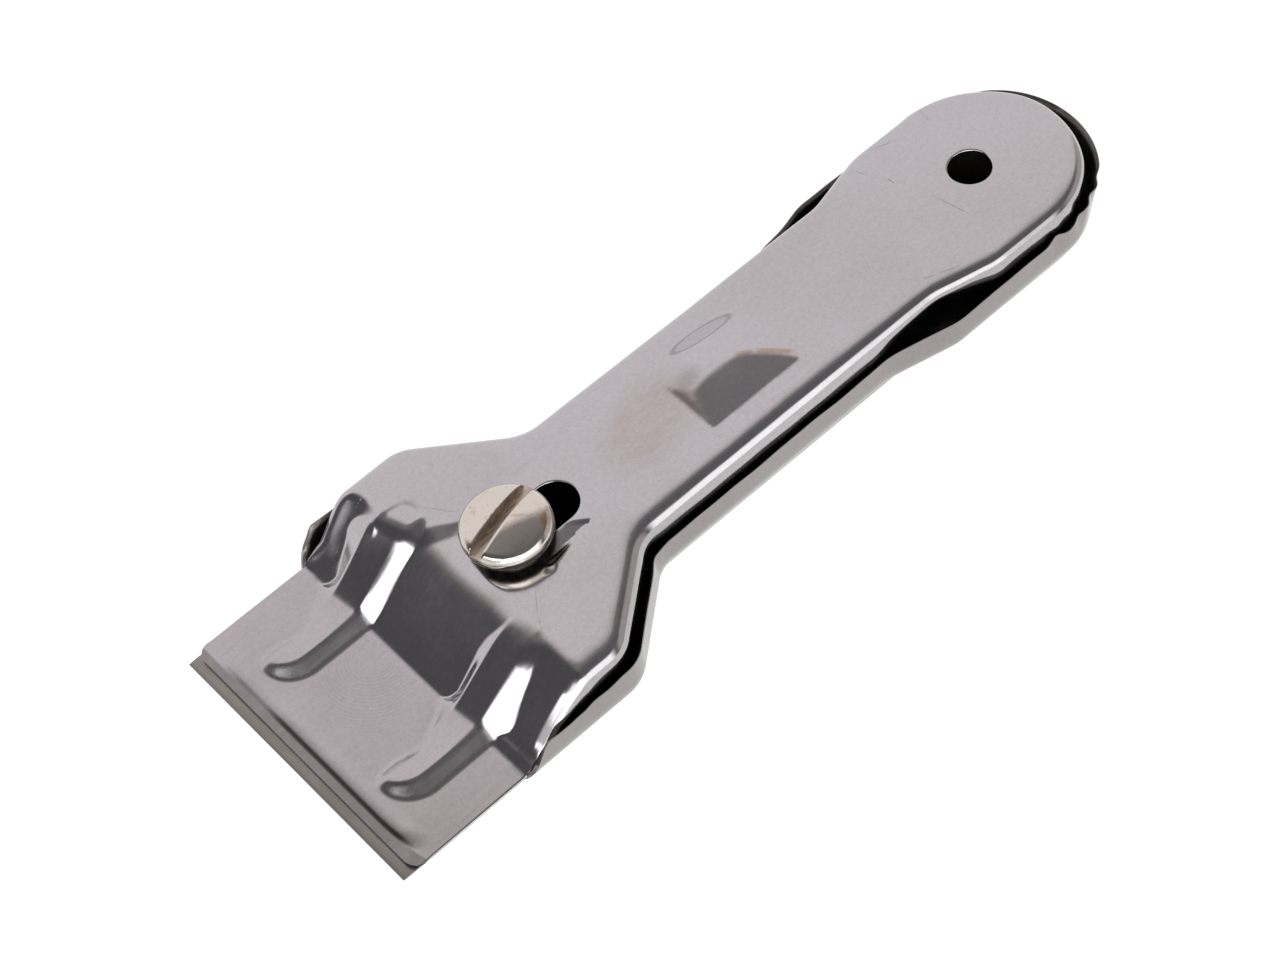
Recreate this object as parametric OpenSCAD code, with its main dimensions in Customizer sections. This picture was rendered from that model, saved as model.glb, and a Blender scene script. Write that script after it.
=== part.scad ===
// Hob scraper: two pressed sheet shells, a double-edged blade between them,
// and one slotted screw that clamps the sliding top shell.
// The part stands on its underside, +X points at the cutting edge, +Z is up,
// and the origin is under the middle of the tool.

/* [Tool] */
// Length of the tool from the cutting edge to the rear of the tray
tool_len = 133.2; // [132:0.2:136]
// Thickness of the pressed sheet
sheet = 0.5; // [0.4:0.1:0.6]
// Height of the flat back of the top shell above the underside
back_z = 9.9; // [9.3:0.2:11]
// Height of the tray's upturned flange
flange_z = 6.4; // [5:0.2:7.8]

/* [Top shell] */
// Width of the lip over the blade
lip_w = 43.8; // [43:0.2:44]
// Width of the top shell across the shoulders
shoulder_w = 43.6; // [43.2:0.2:44]
// Width of the top shell at the rear of the handle
handle_w = 22.6; // [20:0.2:23]
// Width of the round rear end of the top shell
lobe_w = 27.4; // [26:0.2:28]
// Distance of the lip's front edge behind the cutting edge
lip_back = 1.5; // [1:0.1:2.4]
// Distance of the ramp's foot behind the cutting edge
foot_back = 18.8; // [18:0.2:20]
// Distance of the ramp's top behind the cutting edge
ramp_back = 29.6; // [28.6:0.2:30.2]
// Width of each raised rib on the ramp and lip
rib_w = 7.4; // [7.2:0.2:8.4]
// Distance of each rib's centre from the middle plane
rib_y = 12.2; // [12:0.1:12.8]
// Height of the ribs above the lip
rib_h = 1.4; // [0.8:0.1:1.8]
// Radius of the hanging hole
hang_r = 2.9; // [2.5:0.1:3.4]
// Height of the raised thumb pad above the back
pad_h = 1.1; // [0.6:0.1:1.4]
// Radius of the thumb pad
pad_r = 7; // [6:0.2:8]
// Distance of the thumb pad behind the cutting edge
pad_back = 73; // [70:0.5:76]

/* [Tray] */
// Width of the tray across the shoulders
tray_shoulder_w = 46; // [46:0.2:47]
// Width of the tray along the handle
tray_handle_w = 24.8; // [24.8:0.2:26]
// Width of the tray's round rear end
tray_lobe_w = 30; // [29.6:0.2:31]
// Width of the tongue under the blade
tongue_w = 41; // [38:0.5:43]

/* [Blade] */
// Length of the blade across the tool
blade_l = 43; // [42.5:0.1:43]
// Depth of the blade from edge to edge
blade_d = 22; // [21.5:0.1:22.2]
// Thickness of the blade
blade_t = 0.25; // [0.2:0.01:0.3]
// Diameter of the three holes in the blade
blade_hole_d = 6; // [5.6:0.1:6.4]
// Distance between the holes of the blade
blade_pitch = 12.9; // [12.6:0.1:13]
// Diameter of the two pips that hold the blade
pip_d = 4; // [3.4:0.1:4]

/* [Screw] */
// Distance of the screw behind the cutting edge
screw_back = 36.8; // [36.4:0.1:37.4]
// Travel of the top shell along the slot
slide = 7; // [5:0.5:7]
// Diameter of the screw's shank
shank_d = 6; // [5:0.5:6]
// Width of the slot in the top shell
slot_w = 6.4; // [6.3:0.1:7]
// Diameter of the domed head
head_d = 11.9; // [11.5:0.1:12.6]
// Height of the dome above the head's edge
dome_h = 2.1; // [1.9:0.1:2.4]
// Width of the driver slot
driver_w = 1.8; // [1.2:0.1:2]
// Diameter of the thick washer
washer_d = 9; // [8.4:0.2:10]
// Thickness of the washer
washer_t = 1.2; // [1:0.1:2]
// Width of the square nut
nut_w = 10; // [9:0.5:10]
// Height of the square nut
nut_h = 5; // [4:0.5:5.5]

/* [Hidden] */
$fn = 64;

// the cutting edge lies half the tool's length in front of the origin
front = tool_len / 2;
lip_u = 2 * sheet - 0.1;         // underside of the lip
lip_z = lip_u + sheet;           // top of the lip
blade_z = sheet + 0.05;          // underside of the blade
lobe_x = -116.6 + (133.2 - tool_len);
hang_x = -115.7 + (133.2 - tool_len);
neck_w = handle_w + 0.7;         // the handle widens a little towards the neck
tray_lobe_x = -tool_len + tray_lobe_w / 2;
slope = atan2(back_z - lip_z, ramp_back - foot_back);
head_z = back_z + 0.05 + washer_t;
rim_h = 1.2;                     // tapered side of the head
edge_z = head_z + rim_h;
edge_h = 0.05;
dome_r = (head_d * head_d / 4 + dome_h * dome_h) / (2 * dome_h);
pad_ball = (pad_r * pad_r + pad_h * pad_h) / (2 * pad_h);

// x of the ramp's surface at height z, moved square to the ramp by d
function ramp_x(z, d) = -foot_back - (z - lip_z) / tan(slope) + d / sin(slope);

// corner b of the path a-b-c rounded with radius r, as n + 1 points
function turn(a, b, c, r, n = 8) =
    let (u = (a - b) / norm(a - b), v = (c - b) / norm(c - b),
         half = acos(max(-1, min(1, u * v))) / 2,
         d = r / tan(half),
         p = b + u * d, q = b + v * d,
         m = b + (u + v) / norm(u + v) * r / sin(half),
         a0 = atan2(p[1] - m[1], p[0] - m[0]),
         a1 = atan2(q[1] - m[1], q[0] - m[0]),
         sweep = a1 - a0 > 180 ? a1 - a0 - 360 : a1 - a0 < -180 ? a1 - a0 + 360 : a1 - a0)
    r <= 0 ? [b] : [for (i = [0 : n]) m + r * [cos(a0 + sweep * i / n), sin(a0 + sweep * i / n)]];

// open path of [x, y, radius] corners, rounded
function rounded(c) = [for (i = [0 : len(c) - 1])
    each (i == 0 || i == len(c) - 1) ? [[c[i][0], c[i][1]]]
        : turn([c[i - 1][0], c[i - 1][1]], [c[i][0], c[i][1]], [c[i + 1][0], c[i + 1][1]], c[i][2])];

// closed outline from the half path and its mirror image
function both_sides(h) = concat(h, [for (i = [len(h) - 1 : -1 : 0]) [h[i][0], -h[i][1]]]);

// half outline of the top shell, drawn in by d, from the shoulder to the rear
function top_half(d) = rounded([
    [-lip_back, lip_w / 2, 0],
    [-18, lip_w / 2, 0],
    [-30, shoulder_w / 2 - d, 6],
    [-36.4, shoulder_w / 2 - d, 6],
    [-48.8, neck_w / 2 - d, 6],
    [-98, handle_w / 2 - d, 10],
    [-107, lobe_w / 2 - d, 10],
    [lobe_x, lobe_w / 2 - d, 0]]);

// half outline of the tray, drawn in by d
function tray_half(d) = rounded([
    [-17.8, tray_shoulder_w / 2 - d, 0],
    [-37, tray_shoulder_w / 2 - d, 6],
    [-49.5, tray_handle_w / 2 - d, 6],
    [-88.3, tray_handle_w / 2 - d, 10],
    [-98.3, tray_lobe_w / 2 - d, 10],
    [tray_lobe_x, tray_lobe_w / 2 - d, 0]]);

// plan of the top shell: lip with rounded corners, shoulders, handle, round end
module top_plan() {
    polygon(both_sides(concat(
        [[-lip_back, lip_w / 2 - 2]],
        [for (a = [10 : 10 : 90]) [-lip_back - 2 + 2 * cos(a), lip_w / 2 - 2 + 2 * sin(a)]],
        [for (i = [1 : len(top_half(0)) - 1]) top_half(0)[i]])));
    translate([lobe_x, 0]) circle(d = lobe_w);
}

// space inside the top shell's walls, open at the sides of the lip
module top_core() {
    polygon(both_sides(concat(
        [[5, 30], [-foot_back + 0.6, 30]],
        [[-foot_back + 0.6, shoulder_w / 2 - sheet]],
        [for (i = [2 : len(top_half(sheet)) - 1]) top_half(sheet)[i]])));
    translate([lobe_x, 0]) circle(d = lobe_w - 2 * sheet);
}

// plate lying in the side view, w wide about the middle plane
module side_view(w) {
    translate([0, w / 2, 0]) rotate([90, 0, 0]) linear_extrude(w) children();
}

module top_outside() {
    polygon(concat(
        rounded([[-lip_back + 1, lip_u, 0], [-lip_back + 1, lip_z, 0],
                 [-foot_back, lip_z, 1.6], [-ramp_back, back_z, 1.6], [-tool_len, back_z, 0]]),
        [[-tool_len, sheet + 0.1], [-31, sheet + 0.1], [-31, lip_u]]));
}

module top_inside() {
    polygon(concat(
        [[6, -1], [6, lip_u]],
        turn([6, lip_u], [ramp_x(lip_u, -sheet), lip_u], [ramp_x(back_z - sheet, -sheet), back_z - sheet], 2.2),
        turn([ramp_x(lip_u, -sheet), lip_u], [ramp_x(back_z - sheet, -sheet), back_z - sheet], [-tool_len, back_z - sheet], 1),
        [[-tool_len - 1, back_z - sheet], [-tool_len - 1, -1]]));
}

// side view of one rib, from its tip on the lip up to the edge of the back
module rib_outside() {
    polygon([[-6.2, lip_z - 0.3], [-6.2, lip_z], [-7.4, lip_z + rib_h],
             [ramp_x(lip_z + rib_h, 1.1), lip_z + rib_h], [ramp_x(back_z, 1.1), back_z],
             [-ramp_back - 0.6, back_z], [-foot_back - 0.6, lip_z - 0.3]]);
}

module rib_inside() {
    polygon([[-7, lip_u - 0.3], [-7, lip_u], [-7.9, lip_u + rib_h],
             [ramp_x(lip_u + rib_h, 1.1 - sheet), lip_u + rib_h], [ramp_x(back_z - sheet, 1.1 - sheet), back_z - sheet],
             [-ramp_back - 2, back_z - sheet], [-ramp_back - 2, lip_u - 0.3]]);
}

// cap of the thumb pad's ball, drawn in by d, above the height z
module pad_cap(d, z) {
    translate([-pad_back, 0, 0]) intersection() {
        translate([0, 0, back_z + pad_h - pad_ball]) sphere(r = pad_ball - d);
        translate([0, 0, z]) cylinder(r = pad_r + 3, h = pad_h + 3);
    }
}

// long hole with round ends, from x = -travel to 0
module slot_cut(w, travel, h) {
    cylinder(d = w, h = h);
    translate([-travel, 0, 0]) cylinder(d = w, h = h);
    translate([-travel, -w / 2, 0]) cube([travel, w, h]);
}

// pressed cover: lip over the blade, ribbed ramp, back with slot and hanging hole
module top_shell() {
    color([0.74, 0.72, 0.73]) translate([front, 0, 0]) difference() {
        union() {
            intersection() {
                linear_extrude(back_z + 1) top_plan();
                side_view(60) top_outside();
            }
            for (s = [-1, 1]) translate([0, s * rib_y, 0]) side_view(rib_w) rib_outside();
            pad_cap(0, back_z - 0.1);
        }
        intersection() {
            translate([0, 0, -2]) linear_extrude(back_z + 3) top_core();
            side_view(70) top_inside();
        }
        for (s = [-1, 1]) translate([0, s * rib_y, 0]) side_view(rib_w - 2 * sheet) rib_inside();
        pad_cap(sheet, back_z - sheet - 0.1);
        translate([-screw_back + 0.1, 0, back_z - 2])
            slot_cut(slot_w, slide + 0.2, 4);
        translate([hang_x, 0, back_z - 2]) cylinder(r = hang_r, h = 4);
    }
}

// pressed tray: floor, upturned flange, tongue with two pips under the blade
module bottom_shell() {
    color([0.72, 0.70, 0.71]) translate([front, 0, 0]) difference() {
        union() {
            difference() {
                linear_extrude(flange_z) {
                    polygon(both_sides(tray_half(0)));
                    translate([tray_lobe_x, 0]) circle(d = tray_lobe_w);
                }
                translate([0, 0, sheet]) linear_extrude(flange_z) {
                    polygon(both_sides(concat([[-10, tray_shoulder_w / 2 - sheet]],
                        [for (i = [1 : len(tray_half(sheet)) - 1]) tray_half(sheet)[i]])));
                    translate([tray_lobe_x, 0]) circle(d = tray_lobe_w - 2 * sheet);
                }
            }
            translate([-19, -tongue_w / 2, 0]) cube([19 - 2.4, tongue_w, sheet]);
            for (s = [-1, 1]) translate([-blade_d / 2, s * blade_pitch, 0])
                cylinder(d = pip_d, h = lip_u + 0.4);
        }
        translate([hang_x, 0, -1]) cylinder(r = hang_r, h = 3);
        translate([-screw_back, 0, -1]) cylinder(d = shank_d + 1, h = 3);
    }
}

// thin double-edged blade with three holes and a ground bevel on each long edge
module blade() {
    color([0.55, 0.51, 0.48]) translate([front, 0, blade_z]) difference() {
        side_view(blade_l) polygon([[0, 0.4 * blade_t], [0, 0.6 * blade_t], [-1.1, blade_t],
            [-blade_d + 1.1, blade_t], [-blade_d, 0.6 * blade_t], [-blade_d, 0.4 * blade_t],
            [-blade_d + 1.1, 0], [-1.1, 0]]);
        for (i = [-1 : 1]) translate([-blade_d / 2, i * blade_pitch, -1])
            cylinder(d = blade_hole_d, h = 3);
    }
}

// mushroom-headed screw with a driver slot
module clamp_screw() {
    color([0.78, 0.75, 0.70]) translate([front - screw_back, 0, 0]) difference() {
        union() {
            translate([0, 0, 0.3]) cylinder(d = shank_d, h = head_z - 0.3 + 0.2);
            translate([0, 0, head_z]) cylinder(d1 = head_d - 0.9, d2 = head_d, h = rim_h);
            translate([0, 0, edge_z]) cylinder(d = head_d, h = edge_h);
            intersection() {
                translate([0, 0, edge_z + edge_h + dome_h - dome_r]) sphere(r = dome_r);
                translate([0, 0, edge_z + edge_h - 0.04]) cylinder(d = head_d, h = dome_h + 1);
            }
        }
        // the slot is sawn a little off the middle
        rotate([0, 0, 14.5]) translate([-head_d, -driver_w / 2 - 0.5, edge_z + edge_h + 0.3])
            cube([2 * head_d, driver_w, 4]);
    }
}

// thick washer under the head
module washer() {
    color([0.70, 0.68, 0.64]) translate([front - screw_back, 0, back_z + 0.05]) difference() {
        cylinder(d = washer_d, h = washer_t - 0.02);
        translate([0, 0, -1]) cylinder(d = shank_d + 0.4, h = 4);
    }
}

// square nut welded to the floor of the tray, corners bevelled at the top
module square_nut() {
    color([0.62, 0.60, 0.57]) translate([front - screw_back, 0, sheet]) difference() {
        intersection() {
            translate([-nut_w / 2, -nut_w / 2, 0]) cube([nut_w, nut_w, nut_h]);
            cylinder(r1 = nut_w / 2 * 1.42 + nut_h * 1.6, r2 = nut_w / 2 * 1.08, h = nut_h + 0.001);
        }
        translate([0, 0, -1]) cylinder(d = shank_d + 0.1, h = nut_h + 2);
    }
}

bottom_shell();
top_shell();
blade();
clamp_screw();
washer();
square_nut();
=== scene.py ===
"""Hob scraper: looks of the two pressed shells, the blade and the clamp screw set.

Lengths below are in millimetres in the tool's own front frame: x = 0 at the
cutting edge and negative towards the handle, y across, z = 0 on the table.
"""
import math

import bmesh
import bpy
import numpy as np
from mathutils import Matrix, Vector
from mathutils.geometry import delaunay_2d_cdt


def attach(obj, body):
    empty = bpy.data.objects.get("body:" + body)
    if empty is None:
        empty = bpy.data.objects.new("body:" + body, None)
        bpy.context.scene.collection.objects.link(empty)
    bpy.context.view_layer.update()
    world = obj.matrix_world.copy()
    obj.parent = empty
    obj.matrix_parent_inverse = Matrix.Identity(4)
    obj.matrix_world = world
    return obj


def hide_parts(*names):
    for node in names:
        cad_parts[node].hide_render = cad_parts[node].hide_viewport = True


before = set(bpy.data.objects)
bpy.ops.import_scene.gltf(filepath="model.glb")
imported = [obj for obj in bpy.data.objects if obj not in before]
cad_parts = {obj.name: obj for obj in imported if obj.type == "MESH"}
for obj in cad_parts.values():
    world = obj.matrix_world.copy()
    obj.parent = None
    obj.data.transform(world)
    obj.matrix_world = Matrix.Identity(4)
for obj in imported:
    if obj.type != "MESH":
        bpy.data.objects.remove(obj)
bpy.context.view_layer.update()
scene = bpy.context.scene

FRONT = 66.6           # the cutting edge lies this far in front of the origin
SHEET = 0.5            # sheet thickness of both shells
LIP_Z, BACK_Z = 1.4, 9.9
FOOT_X, TOP_X = -18.9, -29.6
SLOPE = (BACK_Z - LIP_Z) / (FOOT_X - TOP_X)
SCREW_X, HANG_X = -36.8, -115.7


# ------------------------------------------------------------------ helpers
def smax(a, b, k):
    h = np.maximum(k - np.abs(a - b), 0) / k
    return np.maximum(a, b) + h * h * k * 0.25


def smin(a, b, k):
    return -smax(-a, -b, k)


def step(e0, e1, x):
    t = np.clip((x - e0) / (e1 - e0), 0, 1)
    return t * t * (3 - 2 * t)


def ease(d, k):
    """0 below 0, rising smoothly into d - k / 2."""
    return np.where(d < 0, 0, np.where(d < k, d * d / (2 * k), d - k / 2))


def bell(x, c, s):
    return np.exp(-(((x - c) / s) ** 2))


def to_row(p):
    q = np.array(p, float)
    q[:, 0] += FRONT
    return q * 1e-3


def path(corners, spacing, arc_deg=7.0):
    """Points and unit tangents along an open path of (x, y, radius) corners."""
    c = [np.array(v[:2], float) for v in corners]
    pts, tan = [c[0]], [(c[1] - c[0]) / np.linalg.norm(c[1] - c[0])]

    def line(p, q):
        length = np.linalg.norm(q - p)
        if length < 1e-9:
            return
        n = max(1, int(math.ceil(length / spacing)))
        for i in range(1, n + 1):
            pts.append(p + (q - p) * i / n)
            tan.append((q - p) / length)

    start = c[0]
    for i in range(1, len(c)):
        if i == len(c) - 1:
            line(start, c[i])
            break
        r = corners[i][2]
        u, v = c[i - 1] - c[i], c[i + 1] - c[i]
        u, v = u / np.linalg.norm(u), v / np.linalg.norm(v)
        half = math.acos(max(-1.0, min(1.0, float(u @ v)))) / 2
        d = r / math.tan(half)
        p, q = c[i] + u * d, c[i] + v * d
        line(start, p)
        m = c[i] + (u + v) / np.linalg.norm(u + v) * r / math.sin(half)
        a0 = math.atan2(*(p - m)[::-1])
        sweep = math.atan2(*(q - m)[::-1]) - a0
        sweep = (sweep + math.pi) % (2 * math.pi) - math.pi
        n = max(2, int(math.ceil(abs(math.degrees(sweep)) / arc_deg)), int(math.ceil(r * abs(sweep) / spacing)))
        for k in range(1, n + 1):
            a = a0 + sweep * k / n
            pts.append(m + r * np.array([math.cos(a), math.sin(a)]))
            tan.append(math.copysign(1, sweep) * np.array([-math.sin(a), math.cos(a)]))
        start = q
    return pts, tan


def rear_arc(cx, r, n):
    """Quarter turn from the side of a round end to its rear point."""
    a = [math.pi / 2 * (1 + k / n) for k in range(1, n + 1)]
    return ([np.array([cx + r * math.cos(t), r * math.sin(t)]) for t in a],
            [np.array([-math.sin(t), math.cos(t)]) for t in a])


def mirrored(pts, tan, closed):
    """The half path and its mirror image, running on the way round."""
    p2 = [np.array([p[0], -p[1]]) for p in pts[-2::-1]]
    t2 = [np.array([-t[0], t[1]]) for t in tan[-2::-1]]
    if closed:
        p2, t2 = p2[:-1], t2[:-1]
    return np.array(pts + p2), np.array(tan + t2)


def inside(poly, pts):
    """Which points lie inside the closed polygon."""
    x, y = pts[:, 0], pts[:, 1]
    res = np.zeros(len(pts), bool)
    q = np.roll(poly, -1, 0)
    for (x0, y0), (x1, y1) in zip(poly, q):
        if y0 == y1:
            continue
        hit = ((y0 > y) != (y1 > y)) & (x < (x1 - x0) * (y - y0) / (y1 - y0) + x0)
        res ^= hit
    return res


def near(pts, loop, dist):
    """Which points lie closer than dist to the loop's points."""
    out = np.zeros(len(pts), bool)
    for i in range(0, len(pts), 4000):
        d = pts[i:i + 4000, None, :] - loop[None, :, :]
        out[i:i + 4000] = ((d ** 2).sum(2).min(1)) < dist * dist
    return out


def fill(outer, holes, extra, free):
    """Triangles of the plan inside outer and outside the holes.
    Returns plan points, triangles and the indices of the outer loop's points."""
    verts, edges = [], []
    for loop in [outer, *holes, *extra]:
        n0, n = len(verts), len(loop)
        verts += [Vector((float(p[0]), float(p[1]))) for p in loop]
        edges += [(n0 + i, n0 + (i + 1) % n) for i in range(n)]
    verts += [Vector((float(p[0]), float(p[1]))) for p in free]
    v, _, f, ov, _, _ = delaunay_2d_cdt(verts, edges, [], 1, 1e-6)
    v = np.array([(p.x, p.y) for p in v])
    f = np.array(f)
    mid = v[f].mean(1)
    keep = np.ones(len(f), bool)
    for h in holes:
        keep &= ~inside(np.asarray(h), mid)
    f = f[keep]
    where = {}
    for i, src in enumerate(ov):
        for s in src:
            where[s] = i
    ring = np.array([where[i] for i in range(len(outer))])
    return v, f, ring


def circle(cx, cy, r, n):
    a = np.arange(n) * 2 * math.pi / n
    return np.c_[cx + r * np.cos(a), cy + r * np.sin(a)]


def stadium(x0, x1, r, n):
    """Long hole with round ends at x0 < x1."""
    a = np.linspace(-math.pi / 2, math.pi / 2, n)
    right = np.c_[x1 + r * np.cos(a), r * np.sin(a)]
    left = np.c_[x0 - r * np.cos(a), -r * np.sin(a)]
    m = max(2, int((x1 - x0) / 0.35))
    top = np.c_[np.linspace(x1, x0, m + 1)[1:-1], np.full(m - 1, r)]
    bot = np.c_[np.linspace(x0, x1, m + 1)[1:-1], np.full(m - 1, -r)]
    return np.vstack([right, top, left, bot])


def make(name, verts_mm, faces, body, slot, mats, doubles=True):
    """Mesh object from front-frame millimetres; its body argument is not used."""
    mesh = bpy.data.meshes.new(name)
    mesh.from_pydata(to_row(verts_mm).tolist(), [], [list(map(int, f)) for f in faces])
    if doubles:
        bm = bmesh.new()
        bm.from_mesh(mesh)
        bmesh.ops.remove_doubles(bm, verts=bm.verts, dist=2e-6)
        bmesh.ops.dissolve_degenerate(bm, edges=bm.edges, dist=1e-7)
        loose = [v for v in bm.verts if not v.link_faces]
        bmesh.ops.delete(bm, geom=loose, context="VERTS")
        bm.to_mesh(mesh)
        bm.free()
    mesh.update()
    obj = bpy.data.objects.new(name, mesh)
    scene.collection.objects.link(obj)
    for m in mats:
        mesh.materials.append(m)
    return obj


def applied(obj):
    """Replaces the object's mesh with its modified one."""
    dg = bpy.context.evaluated_depsgraph_get()
    new = bpy.data.meshes.new_from_object(obj.evaluated_get(dg))
    old = obj.data
    obj.modifiers.clear()
    obj.data = new
    new.name = obj.name
    bpy.data.meshes.remove(old)
    return obj


def thicken(obj, t_mm, inner, rim, rim_bevel=0.06):
    """Gives the sheet its thickness inwards, with slightly broken edges."""
    m = obj.modifiers.new("sheet", "SOLIDIFY")
    m.thickness = t_mm * 1e-3
    m.offset = -1
    m.use_even_offset = True
    m.thickness_clamp = 0.0
    if "gauge" in obj.vertex_groups:
        m.vertex_group = "gauge"
    m.material_offset = inner
    m.material_offset_rim = rim
    applied(obj)
    if rim_bevel:
        bm = bmesh.new()
        bm.from_mesh(obj.data)
        sharp = [e for e in bm.edges if len(e.link_faces) == 2 and e.calc_face_angle(0) > math.radians(62)]
        bmesh.ops.bevel(bm, geom=sharp, offset=rim_bevel * 1e-3, segments=2, profile=0.5,
                        affect="EDGES", clamp_overlap=True)
        bm.to_mesh(obj.data)
        bm.free()
    smooth(obj, 42)


def smooth(obj, angle):
    me = obj.data
    me.polygons.foreach_set("use_smooth", np.ones(len(me.polygons), bool))
    me.set_sharp_from_angle(angle=math.radians(angle))
    me.update()


# ---------------------------------------------------------------- materials
def nodes_of(mat):
    mat.use_nodes = True
    nt = mat.node_tree
    nt.nodes.clear()
    out = nt.nodes.new("ShaderNodeOutputMaterial")
    bsdf = nt.nodes.new("ShaderNodeBsdfPrincipled")
    nt.links.new(bsdf.outputs[0], out.inputs[0])
    return nt, bsdf


class Tree:
    """Short hand for building a node tree."""

    def __init__(self, nt):
        self.nt = nt

    def node(self, kind, **sets):
        n = self.nt.nodes.new(kind)
        for k, v in sets.items():
            setattr(n, k, v)
        return n

    def put(self, socket, value):
        if isinstance(value, bpy.types.NodeSocket):
            self.nt.links.new(value, socket)
        else:
            socket.default_value = value

    def math(self, op, a, b=0.0, clamp=False):
        n = self.node("ShaderNodeMath", operation=op, use_clamp=clamp)
        self.put(n.inputs[0], a)
        self.put(n.inputs[1], b)
        return n.outputs[0]

    def ramp(self, x, lo, hi, a=0.0, b=1.0):
        n = self.node("ShaderNodeMapRange", interpolation_type="SMOOTHSTEP")
        self.put(n.inputs["Value"], x)
        n.inputs["From Min"].default_value = lo
        n.inputs["From Max"].default_value = hi
        n.inputs["To Min"].default_value = a
        n.inputs["To Max"].default_value = b
        return n.outputs[0]

    def mix(self, f, a, b):
        n = self.node("ShaderNodeMix", data_type="RGBA")
        self.put(n.inputs[0], f)
        self.put(n.inputs[6], a)
        self.put(n.inputs[7], b)
        return n.outputs[2]

    def coords(self, scale, rot=(0, 0, 0), loc=(0, 0, 0)):
        tc = self.node("ShaderNodeTexCoord")
        mp = self.node("ShaderNodeMapping")
        mp.inputs["Location"].default_value = loc
        mp.inputs["Rotation"].default_value = rot
        mp.inputs["Scale"].default_value = scale
        self.nt.links.new(tc.outputs["Object"], mp.inputs[0])
        return mp.outputs[0]

    def line(self, a, b, width, soft=0.6):
        """1 along the thin plan line from a to b (front-frame millimetres), 0 away from it."""
        a, b = np.array(a, float), np.array(b, float)
        m, half = (a + b) / 2, np.linalg.norm(b - a) / 2
        turn = math.atan2(b[1] - a[1], b[0] - a[0])
        mp = self.node("ShaderNodeMapping", vector_type="TEXTURE")
        mp.inputs["Location"].default_value = ((m[0] + FRONT) * 1e-3, m[1] * 1e-3, 0)
        mp.inputs["Rotation"].default_value = (0, 0, turn)
        mp.inputs["Scale"].default_value = (1e-3, 1e-3, 1e-3)
        tc = self.node("ShaderNodeTexCoord")
        self.nt.links.new(tc.outputs["Object"], mp.inputs[0])
        sep = self.node("ShaderNodeSeparateXYZ")
        self.nt.links.new(mp.outputs[0], sep.inputs[0])
        u = self.math("ABSOLUTE", sep.outputs[0])
        v = self.math("ABSOLUTE", sep.outputs[1])
        return self.math("MULTIPLY", self.ramp(u, half, half * (1 - soft)), self.ramp(v, width, width * 0.3))

    def tint(self, f, a, colour):
        """a multiplied by the colour where f is 1."""
        n = self.node("ShaderNodeMix", data_type="RGBA", blend_type="MULTIPLY")
        self.put(n.inputs[0], f)
        self.put(n.inputs[6], a)
        self.put(n.inputs[7], colour)
        return n.outputs[2]

    def ellipse(self, centre, half_x, half_y, turn=0.0):
        """Distance from the plan ellipse's centre, 1 on its outline."""
        mp = self.node("ShaderNodeMapping", vector_type="TEXTURE")
        mp.inputs["Location"].default_value = ((centre[0] + FRONT) * 1e-3, centre[1] * 1e-3, 0)
        mp.inputs["Rotation"].default_value = (0, 0, turn)
        mp.inputs["Scale"].default_value = (half_x * 1e-3, half_y * 1e-3, 1e-3)
        tc = self.node("ShaderNodeTexCoord")
        self.nt.links.new(tc.outputs["Object"], mp.inputs[0])
        sep = self.node("ShaderNodeSeparateXYZ")
        self.nt.links.new(mp.outputs[0], sep.inputs[0])
        u = self.math("MULTIPLY", sep.outputs[0], sep.outputs[0])
        v = self.math("MULTIPLY", sep.outputs[1], sep.outputs[1])
        return self.math("SQRT", self.math("ADD", u, v))

    def place(self):
        """x, y and z of the surface in front-frame millimetres."""
        mp = self.node("ShaderNodeMapping", vector_type="TEXTURE")
        mp.inputs["Location"].default_value = (FRONT * 1e-3, 0, 0)
        mp.inputs["Scale"].default_value = (1e-3, 1e-3, 1e-3)
        tc = self.node("ShaderNodeTexCoord")
        self.nt.links.new(tc.outputs["Object"], mp.inputs[0])
        sep = self.node("ShaderNodeSeparateXYZ")
        self.nt.links.new(mp.outputs[0], sep.inputs[0])
        return sep.outputs

    def noise(self, vec, scale, detail=2.0, rough=0.5, distort=0.0):
        n = self.node("ShaderNodeTexNoise")
        self.nt.links.new(vec, n.inputs["Vector"])
        n.inputs["Scale"].default_value = scale
        n.inputs["Detail"].default_value = detail
        n.inputs["Roughness"].default_value = rough
        n.inputs["Distortion"].default_value = distort
        return n.outputs[0]

    def bump(self, height, strength, dist_mm, normal=None):
        n = self.node("ShaderNodeBump")
        n.inputs["Strength"].default_value = strength
        n.inputs["Distance"].default_value = dist_mm * 1e-3
        self.nt.links.new(height, n.inputs["Height"])
        if normal is not None:
            self.nt.links.new(normal, n.inputs["Normal"])
        return n.outputs[0]


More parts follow.
